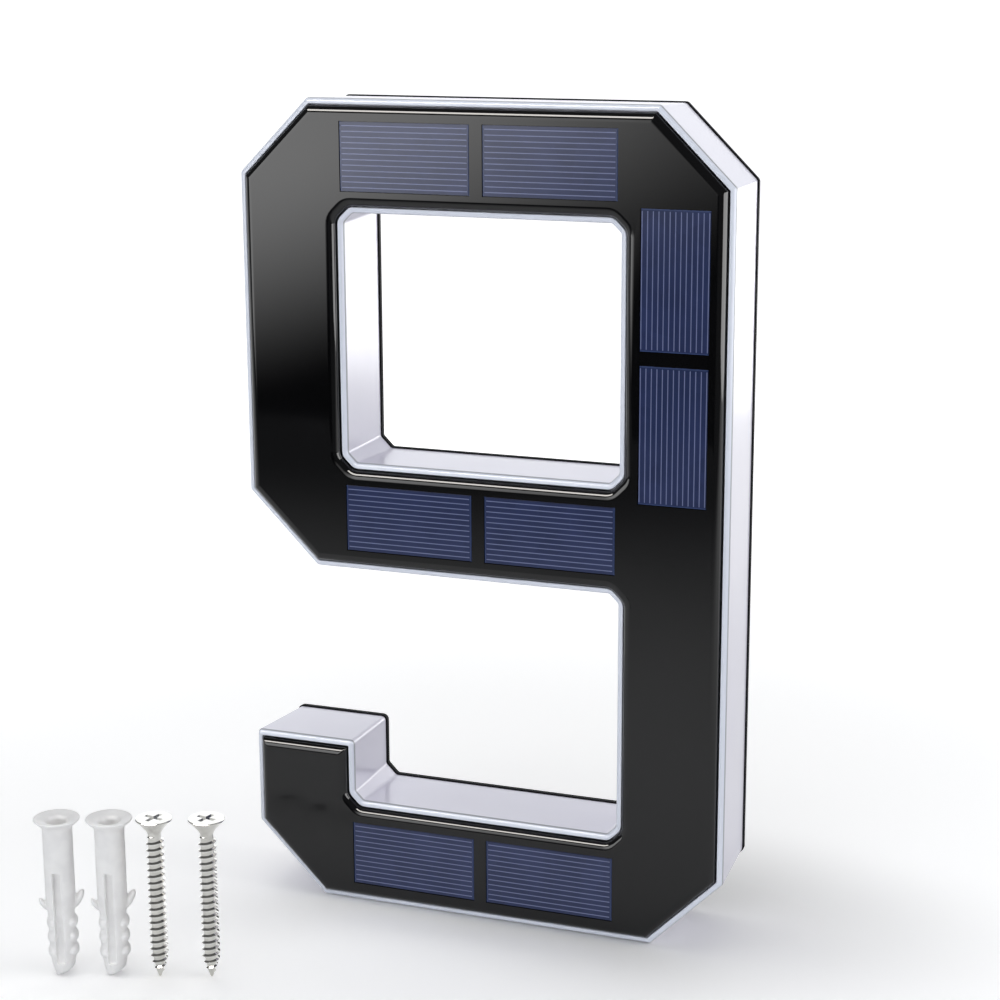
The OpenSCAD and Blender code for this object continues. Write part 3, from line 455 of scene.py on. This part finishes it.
# Face panel: the black numeral that carries the cells, polished like glass with soft rounded edges.
# Moulded in black acrylic; the polish leaves faint haze and hairlines.
face_gloss = finish_of("face_gloss", light=(0.0035, 0.0035, 0.004), dark=(0.0022, 0.0022, 0.0025),
                       gloss=(0.035, 0.055), patch=0.03, grain=0.004, relief=0.0000002)
face = dressed("face_panel", "face_plate")
face.data.materials.append(face_gloss)
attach(face, "numeral")


# Solar cells: eight laminated silicon cells let into the face. Dark blue silicon under clear resin, crossed
# by thin silver fingers along the long side, with a paler margin at both ends.
SILICON_LIGHT = (0.025, 0.035, 0.095)
SILICON_DARK = (0.020, 0.029, 0.080)
SILVER_BLUE = (0.16, 0.185, 0.33)
MARGIN_BLUE = (0.050, 0.080, 0.200)
CELL_HALF = 0.0145
CELL_COAT = 0.5
CELL_COAT_ROUGHNESS = 0.05
CELL_SPECULAR = 0.2
CRYSTAL = 0.004
CRYSTAL_TONES = (0.95, 1.05)
FINGER_PITCH = 0.001167
FINGER_WIDTH = 0.00019
# The shares of its half width between which a finger fades
FINGER_CORE = 0.6
FINGER_EDGE = 1.4
MARGIN = 0.00035
FINGER_STOP = MARGIN * 1.3
LYING = ("top_left", "top_right", "middle_left", "middle_right", "bottom_left", "bottom_right")
STANDING = ("right_upper", "right_lower")
LYING_PHASE = 0.0
STANDING_PHASE = 0.5


def cell_finish():
    """Silicon with its fingers. They follow the layout "fingers", which holds the place on the cell along
    its long side in metres and across it in pitches of the fingers."""
    material = finish_of("cell_silicon", light=SILICON_LIGHT, dark=SILICON_DARK, gloss=(0.10, 0.16),
                         patch=0.012, grain=0.0005, relief=0.000001, coat=CELL_COAT)
    tree, shader, base = colour_of(material)
    shader.inputs["Coat Roughness"].default_value = CELL_COAT_ROUGHNESS
    shader.inputs["Specular IOR Level"].default_value = CELL_SPECULAR
    crystals = new_node(tree, "ShaderNodeTexVoronoi", Scale=1 / CRYSTAL)
    tree.links.new(place_on(tree), crystals.inputs["Vector"])
    facets = tree.nodes.new("ShaderNodeSeparateColor")
    tree.links.new(crystals.outputs["Color"], facets.inputs[0])
    shaded = tree.nodes.new("ShaderNodeHueSaturation")
    tree.links.new(base, shaded.inputs["Color"])
    tree.links.new(fade(tree, facets.outputs[0], 0, 1, *CRYSTAL_TONES), shaded.inputs["Value"])
    layout = tree.nodes.new("ShaderNodeUVMap")
    layout.uv_map = "fingers"
    spot = parts_of(tree, layout.outputs[0])
    from_end = calculate(tree, "SUBTRACT", CELL_HALF, calculate(tree, "ABSOLUTE", spot["X"]))
    step = calculate(tree, "SUBTRACT", calculate(tree, "FRACT", spot["Y"]), 0.5)
    half = FINGER_WIDTH / FINGER_PITCH / 2
    finger = fade(tree, calculate(tree, "ABSOLUTE", step), half * FINGER_CORE, half * FINGER_EDGE, 1, 0)
    finger = calculate(tree, "MULTIPLY", finger, calculate(tree, "GREATER_THAN", from_end, FINGER_STOP))
    silver = mixed(tree, finger, shaded.outputs[0], SILVER_BLUE)
    within = fade(tree, from_end, 0, MARGIN, 0, 1)
    rim = mixed(tree, calculate(tree, "SUBTRACT", 1, within), silver, MARGIN_BLUE)
    tree.links.new(rim, shader.inputs["Base Color"])
    return material


silicon = cell_finish()
for spot in LYING + STANDING:
    node = "cell_" + spot
    cell = dressed(node, "solar_" + spot)
    low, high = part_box(node)
    middle = (low + high) / 2
    long_axis, short_axis = (0, 2) if spot in LYING else (2, 0)
    phase = LYING_PHASE if spot in LYING else STANDING_PHASE
    marks = cell.data.uv_layers.new(name="fingers")
    for loop in cell.data.loops:
        away = cell.data.vertices[loop.vertex_index].co - middle
        marks.data[loop.index].uv = (away[long_axis], away[short_axis] / FINGER_PITCH + phase)
    cell.data.materials.append(silicon)
    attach(cell, "numeral")


# Cell ribbons: flat strips that join the cells in a chain behind the face.
# Copper dipped in tin, soldered to the back of each cell.
tinned = finish_of("tinned_copper", light=(0.72, 0.71, 0.68), dark=(0.60, 0.59, 0.57), gloss=(0.25, 0.4),
                   patch=0.006, grain=0.0003, relief=0.000008, metal=1)
paint_node("cell_ribbons", tinned)


# Light strips: four narrow white boards with a row of diodes each, screwed to posts of the cover.
# Glass-fibre board under white solder resist; the diodes are clear resin over a yellow phosphor.
strip_white = finish_of("strip_white", light=(0.86, 0.87, 0.85), dark=(0.80, 0.81, 0.80), gloss=(0.3, 0.4),
                        patch=0.01, grain=0.0004, relief=0.000006)
phosphor = finish_of("diode_phosphor", light=(0.90, 0.82, 0.42), dark=(0.85, 0.74, 0.34), gloss=(0.2, 0.3),
                     patch=0.001, grain=0.0002, relief=0.000005, coat=0.6)
for spot in ("top", "left", "middle", "bottom"):
    paint_node("led_strip_" + spot, strip_white)
paint_node("led_chips", phosphor)


# Control board: the green board that charges the battery by day, with its chips, coil and socket, and the
# push switch soldered to its back.
board_green = finish_of("board_green", light=(0.03, 0.20, 0.08), dark=(0.02, 0.13, 0.06),
                        gloss=(0.25, 0.35), patch=0.003, grain=0.0006, relief=0.00001)
chip_black = finish_of("chip_black", light=(0.030, 0.030, 0.032), dark=(0.020, 0.020, 0.021),
                       gloss=(0.45, 0.6), patch=0.004, grain=0.0002, relief=0.00001)
switch_grey = finish_of("switch_grey", light=(0.10, 0.10, 0.105), dark=(0.07, 0.07, 0.075), gloss=(0.4, 0.5),
                        patch=0.003, grain=0.0003, relief=0.000008)
paint_node("control_board", board_green)
paint_node("board_components", chip_black)
paint_node("switch_body", switch_grey)


# Button and rubber rings: a black cap pressed from the back, the ring that keeps rain out round it, and the
# gasket under the cover's edge. The cap is moulded with a fine matt texture, the rings are nitrile rubber.
button_black = finish_of("button_black", light=(0.030, 0.030, 0.032), dark=(0.022, 0.022, 0.024),
                         gloss=(0.42, 0.5), patch=0.003, grain=0.0002, relief=0.000012)
rubber_black = finish_of("rubber_black", light=(0.022, 0.022, 0.022), dark=(0.015, 0.015, 0.015),
                         gloss=(0.6, 0.75), patch=0.003, grain=0.0003, relief=0.00001)
paint_node("switch_button", button_black)
paint_node("switch_seal", rubber_black)
paint_node("back_gasket", rubber_black)


# Battery: one rechargeable cell in a shrunk green sleeve.
# It lies in a white moulded half pipe that is glued to the cover.
sleeve_green = finish_of("sleeve_green", light=(0.04, 0.24, 0.12), dark=(0.03, 0.19, 0.10),
                         gloss=(0.18, 0.26), patch=0.01, grain=0.0008, relief=0.000006, coat=0.4)
cradle_white = finish_of("cradle_white", light=(0.80, 0.80, 0.78), dark=(0.75, 0.75, 0.73), gloss=(0.4, 0.5),
                         patch=0.01, grain=0.0003, relief=0.00001)
paint_node("battery", sleeve_green)
paint_node("battery_cradle", cradle_white)


# Leads: thin wires from the battery, to the strips and from the cells.
# Stranded copper in a soft coloured coat, soldered at both ends.
lead_red = finish_of("lead_red", light=(0.45, 0.02, 0.02), dark=(0.38, 0.015, 0.015), gloss=(0.3, 0.4),
                     patch=0.003, grain=0.0003, relief=0.000005)
lead_yellow = finish_of("lead_yellow", light=(0.70, 0.45, 0.04), dark=(0.62, 0.38, 0.03), gloss=(0.3, 0.4),
                        patch=0.003, grain=0.0003, relief=0.000005)
paint_node("battery_leads", lead_red)
paint_node("led_leads", lead_yellow)
paint_node("solar_leads", lead_red)


# Back cover: the thin black plate that closes the housing, with two keyholes and the well of the button.
# Moulded in black ABS with a fine matt texture on the side that faces the wall.
COVER_SPECULAR = 0.03
RIM_FRONT = 0.0095
RIM_BACK = 0.0108
RIM_UPRIGHT = 0.97
RIM_CLEAR = 0.02
RIM_PROUD = 0.0003

cover_black = finish_of("cover_black", light=(0.010, 0.010, 0.011), dark=(0.006, 0.006, 0.007),
                        gloss=(0.5, 0.6), patch=0.02, grain=0.0005, relief=0.00002)
cover_black.node_tree.nodes["Principled BSDF"].inputs["Specular IOR Level"].default_value = COVER_SPECULAR
cover = dressed("back_cover", "cover_plate")
# The edge stands a little proud of the walls. The sides of keyholes and well stay where they are: from
# them a ray soon meets the cover again.
pushed = {}
for side in cover.data.polygons:
    away = Vector((side.normal.x, 0, side.normal.z))
    if away.length < RIM_UPRIGHT or not RIM_FRONT < side.center.y < RIM_BACK:
        continue
    met = cover.ray_cast(side.center + away * WELD_GAP, away, distance=RIM_CLEAR)[0]
    if met:
        continue
    for corner in side.vertices:
        pushed.setdefault(corner, []).append(away.normalized())
for corner, ways in pushed.items():
    way_out = sum(ways, Vector()).normalized()
    reach = min(way_out.dot(way) for way in ways)
    point = cover.data.vertices[corner].co
    point += way_out * RIM_PROUD / reach
    point.z = max(point.z, 0)
cover.data.materials.append(cover_black)
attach(cover, "numeral")


# Small screws: six countersunk ones through the cover, and ten with pan heads that hold the boards on
# their posts. Steel, cold headed and zinc plated.
zinc = finish_of("zinc_plate", light=(0.66, 0.66, 0.65), dark=(0.56, 0.57, 0.58), gloss=(0.22, 0.34),
                 patch=0.002, grain=0.0002, relief=0.000006, metal=1)
paint_node("cover_screws", zinc)
paint_node("board_screws", zinc)


# Wall plugs: two nylon plugs with a dished collar, a barrel that is split in two lower down, a long and a
# short fin, and scallops down both sides that grip the hole. Injection moulded, so every edge is soft.
MM = 0.001
VIEW_TURN = math.radians(32.5)
NYLON_MILKY = 0.35
NYLON_REACH = (1, 1, 1)
NYLON_DEPTH = 0.002
PLUG_SIDES = 48
# Radius and height of each ring: up the outside, over the collar's rim and down the bore
PLUG_RINGS = (
    (1.7, 0), (1.9, 0.3), (2.3, 1.8), (2.7, 4.2), (2.8, 5.2), (2.8, 14.0), (3.15, 15.4), (3.15, 32.6),
    (3.4, 33.2), (4.45, 34.15), (4.85, 34.5), (4.9, 34.7), (4.8, 34.95), (4.6, 35.0), (4.15, 34.82),
    (2.6, 34.3), (2.15, 33.7), (1.6, 31.5), (1.5, 8.0), (0.8, 6.0)
)
SLOT_SIZE = (1.7, 1.6, 20.6)
SLOT_TURN = math.radians(-15)
SLOT_FOOT = 2.8
SLOT_AWAY = 2.65
TIP_CUT = (12, 12, 4)
TIP_CUT_PLACE = (0, 0, -1.5)
TIP_TURN = math.radians(-24)
# The size of each lump, its place to the side and its lean in degrees
WIDE_SCALLOP = ((1.45, 2.6, 1.55), 1.95, -16)
SLIM_SCALLOP = ((1.2, 2.4, 1.6), -1.9, 12)
SCALLOP_LEVELS = (5.4, 8.6, 11.8)
LONG_FIN = ((0.85, 1.3, 2.3), 3.6, 30)
LONG_FIN_LEVEL = 16.4
SHORT_FIN = ((0.6, 1.0, 1.7), -3.55, -32)
SHORT_FIN_LEVEL = 15.8
LUMP_SIDES = 24
LUMP_ROWS = 16
SOFTNESS = 0.14
EVEN_SHARE = 0.5
EVEN_ROUNDS = 4


def stacked(name, rings, sides):
    """A round body made from the bottom up: a disc, then one extrusion and one resize for each ring."""
    bpy.ops.object.select_all(action="DESELECT")
    first, low = rings[0]
    bpy.ops.mesh.primitive_circle_add(vertices=sides, radius=first * MM, fill_type="NGON", location=(0, 0, 0))
    piece = bpy.context.object
    piece.name = name
    bpy.ops.object.mode_set(mode="EDIT")
    bpy.ops.mesh.select_all(action="SELECT")
    bpy.ops.transform.translate(value=(0, 0, low * MM))
    for (before, under), (radius, height) in zip(rings, rings[1:]):
        bpy.ops.mesh.extrude_region_move(TRANSFORM_OT_translate={"value": (0, 0, (height - under) * MM)})
        share = radius / before
        bpy.ops.transform.resize(value=(share, share, 1), center_override=(0, 0, height * MM))
    bpy.ops.mesh.select_all(action="SELECT")
    bpy.ops.mesh.normals_make_consistent(inside=False)
    bpy.ops.object.mode_set(mode="OBJECT")
    return piece


def sized(size):
    """Gives a new primitive its size in millimetres, and keeps its place and turn in its mesh."""
    piece = bpy.context.object
    piece.scale = [x * MM for x in size]
    bpy.ops.object.transform_apply(location=True, rotation=True, scale=True)
    return piece


def block(size, place, turn):
    """A block that cuts, in millimetres."""
    bpy.ops.object.select_all(action="DESELECT")
    bpy.ops.mesh.primitive_cube_add(size=1, location=[x * MM for x in place], rotation=turn)
    return sized(size)


def lump(shape, level):
    """A scallop or a fin, in millimetres."""
    size, away, lean = shape
    bpy.ops.object.select_all(action="DESELECT")
    bpy.ops.mesh.primitive_uv_sphere_add(segments=LUMP_SIDES, ring_count=LUMP_ROWS, radius=1,
                                         location=(away * MM, 0, level * MM),
                                         rotation=(0, math.radians(lean), 0))
    return sized(size)


def carved(piece, tool):
    """Cuts a tool's shape out of a piece, and takes the tool away."""
    cut = piece.modifiers.new("cut", "BOOLEAN")
    cut.operation = "DIFFERENCE"
    cut.solver = "EXACT"
    cut.object = tool
    select_only(piece)
    bpy.ops.object.modifier_apply(modifier=cut.name)
    bpy.data.objects.remove(tool)


def joined(piece, others):
    select_only(piece)
    for other in others:
        other.select_set(True)
    bpy.ops.object.join()


def twin(piece, name):
    """A second piece like the first, with a mesh of its own."""
    other = bpy.data.objects.new(name, piece.data.copy())
    bpy.context.scene.collection.objects.link(other)
    return other


def placed(piece, node):
    """Moves a piece that stands on the origin to the middle of its node, turned to face the camera. The
    face panel doesn't reflect it."""
    low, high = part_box(node)
    middle = (low + high) / 2
    middle.z = 0
    piece.data.transform(Matrix.Translation(middle) @ Matrix.Rotation(VIEW_TURN, 4, "Z"))
    piece.visible_glossy = False


nylon = finish_of("plug_nylon", light=(0.87, 0.86, 0.85), dark=(0.81, 0.80, 0.795), gloss=(0.42, 0.52),
                  patch=0.004, grain=0.0006, relief=0.000012)
shader = nylon.node_tree.nodes["Principled BSDF"]
shader.inputs["Subsurface Weight"].default_value = NYLON_MILKY
shader.inputs["Subsurface Radius"].default_value = NYLON_REACH
shader.inputs["Subsurface Scale"].default_value = NYLON_DEPTH

plug = stacked("plug_left", PLUG_RINGS, PLUG_SIDES)
for side in (-1, 1):
    across = (-side * SLOT_AWAY * math.sin(SLOT_TURN), side * SLOT_AWAY * math.cos(SLOT_TURN))
    carved(plug, block(SLOT_SIZE, (*across, SLOT_FOOT + SLOT_SIZE[2] / 2), (0, 0, SLOT_TURN)))
carved(plug, block(TIP_CUT, TIP_CUT_PLACE, (0, TIP_TURN, 0)))
grips = []
for level in SCALLOP_LEVELS:
    grips.append(lump(WIDE_SCALLOP, level))
    grips.append(lump(SLIM_SCALLOP, level))
grips.append(lump(LONG_FIN, LONG_FIN_LEVEL))
grips.append(lump(SHORT_FIN, SHORT_FIN_LEVEL))
joined(plug, grips)
# The mould's softness: all of it becomes one skin, which is then evened out
soft = plug.modifiers.new("soft", "REMESH")
soft.mode = "VOXEL"
soft.voxel_size = SOFTNESS * MM
even = plug.modifiers.new("even", "SMOOTH")
even.factor = EVEN_SHARE
even.iterations = EVEN_ROUNDS
select_only(plug)
bpy.ops.object.modifier_apply(modifier=soft.name)
bpy.ops.object.modifier_apply(modifier=even.name)
bpy.ops.object.shade_smooth()
plug.data.materials.clear()
plug.data.materials.append(nylon)
for piece, side in ((plug, "left"), (twin(plug, "plug_right"), "right")):
    placed(piece, "wall_plug_" + side)
    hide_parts("wall_plug_" + side)
    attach(piece, side + "_plug")


# Wall screws: two countersunk steel screws with a coarse thread from under the head to the point and a cross
# recess, rolled and then nickel plated. They stand on their points.
SCREW_SIDES = 40
# Radius and height of each ring, from the point to the top of the head
SCREW_RINGS = (
    (0.3, 0), (0.72, 1.2), (1.38, 4.6), (1.38, 31.9), (1.65, 32.5), (1.85, 32.9), (3.7, 35.0), (3.85, 35.15),
    (3.85, 35.35), (3.75, 35.46), (3.55, 35.5)
)
SCREW_TOP = SCREW_RINGS[-1][1]
SCREW_SMOOTH = math.radians(30)
THREAD_PITCH = 1.47
THREAD_TURNS = 21
THREAD_STEPS = 28
THREAD_LOW = 0.7
THREAD_ROOT = 1.25
ROOT_LEVELS = (0.02, 0.92)
THREAD_CREST = 1.95
CREST_LEVELS = (0.44, 0.56)
THREAD_FADE = 30.6
THREAD_END = 31.9
POINT_TOP = 4.6
POINT_SHARE = 0.30
RECESS_LENGTH = 4.4
RECESS_WIDTH = 1.0
RECESS_FLOOR = 33.7
RECESS_REACH = 2.3
RECESS_LEVELS = (RECESS_FLOOR - 0.1, SCREW_RINGS[-2][1] - 0.05)
# Painted shade: grey painted into the plating under each crest and in the cross recess
PAINTED_SHADE_COLOUR = (0.20, 0.20, 0.19)
SHADE_LEVEL_TOP = 1.2
THREAD_SHADE = 0.32
RECESS_SHADE = 1

nickel = finish_of("nickel_plate", light=(0.78, 0.77, 0.73), dark=(0.69, 0.68, 0.64), gloss=(0.12, 0.20),
                   patch=0.002, grain=0.0003, relief=0.000006, metal=1)
tree, shader, plate = colour_of(nickel)
painted_shade = tree.nodes.new("ShaderNodeAttribute")
painted_shade.attribute_name = "painted_shade"
tree.links.new(mixed(tree, painted_shade.outputs["Fac"], plate, PAINTED_SHADE_COLOUR), shader.inputs["Base Color"])
screw = stacked("screw_left", SCREW_RINGS, SCREW_SIDES)
arm = (RECESS_LENGTH, RECESS_WIDTH, 2 * (SCREW_TOP - RECESS_FLOOR))
for turn in (45, 135):
    carved(screw, block(arm, (0, 0, SCREW_TOP), (0, 0, math.radians(turn))))

# The thread's section, with its root towards the axis and its crest outwards
bpy.ops.object.select_all(action="DESELECT")
bpy.ops.mesh.primitive_plane_add(size=1, location=(0, 0, 0))
thread = bpy.context.object
crest = THREAD_CREST * MM
root = THREAD_ROOT * MM
for vertex in thread.data.vertices:
    radius, levels = (crest, CREST_LEVELS) if vertex.co.x > 0 else (root, ROOT_LEVELS)
    level = levels[1] if vertex.co.y > 0 else levels[0]
    vertex.co = (radius, 0, (THREAD_LOW + level) * MM)
# Painted shade at each point: darkest just under the crest, where the thread shades itself
painted_shade_values = thread.data.attributes.new("painted_shade", "FLOAT", "POINT")
for vertex, value in zip(thread.data.vertices, painted_shade_values.data):
    under_crest = vertex.co.x > (crest + root) / 2 and vertex.co.z < SHADE_LEVEL_TOP * MM
    value.value = THREAD_SHADE if under_crest else 0
bpy.ops.object.mode_set(mode="EDIT")
bpy.ops.mesh.select_all(action="SELECT")
bpy.ops.mesh.delete(type="ONLY_FACE")
bpy.ops.object.mode_set(mode="OBJECT")
wound = thread.modifiers.new("wound", "SCREW")
wound.axis = "Z"
wound.angle = 2 * math.pi
wound.screw_offset = THREAD_PITCH * MM
wound.iterations = THREAD_TURNS
wound.steps = THREAD_STEPS
wound.render_steps = THREAD_STEPS
wound.use_merge_vertices = True
wound.merge_threshold = WELD_GAP / 10
bpy.ops.object.modifier_apply(modifier=wound.name)
bpy.ops.object.mode_set(mode="EDIT")
bpy.ops.mesh.select_all(action="SELECT")
bpy.ops.mesh.fill_holes(sides=4)
bpy.ops.mesh.select_all(action="SELECT")
bpy.ops.mesh.normals_make_consistent(inside=False)
bpy.ops.object.mode_set(mode="OBJECT")
# The wound thread sinks into the shank under the head, and narrows with it to the point
for vertex in thread.data.vertices:
    height = vertex.co.z / MM
    radius = math.hypot(vertex.co.x, vertex.co.y) / MM
    fading = min(max((THREAD_END - height) / (THREAD_END - THREAD_FADE), 0), 1)
    wanted = THREAD_ROOT + (radius - THREAD_ROOT) * fading
    wanted *= POINT_SHARE + (1 - POINT_SHARE) * min(height / POINT_TOP, 1)
    vertex.co.x *= wanted / radius
    vertex.co.y *= wanted / radius
joined(screw, [thread])
bpy.ops.object.shade_smooth_by_angle(angle=SCREW_SMOOTH)
screw.data.materials.clear()
screw.data.materials.append(nickel)
# The cross recess is painted dark all over, as painted shade
for vertex, value in zip(screw.data.vertices, screw.data.attributes["painted_shade"].data):
    height = vertex.co.z / MM
    radius = math.hypot(vertex.co.x, vertex.co.y) / MM
    if RECESS_LEVELS[0] < height < RECESS_LEVELS[1] and radius < RECESS_REACH:
        value.value = RECESS_SHADE
for piece, side in ((screw, "left"), (twin(screw, "screw_right"), "right")):
    placed(piece, "wall_screw_" + side)
    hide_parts("wall_screw_" + side)
    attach(piece, side + "_screw")
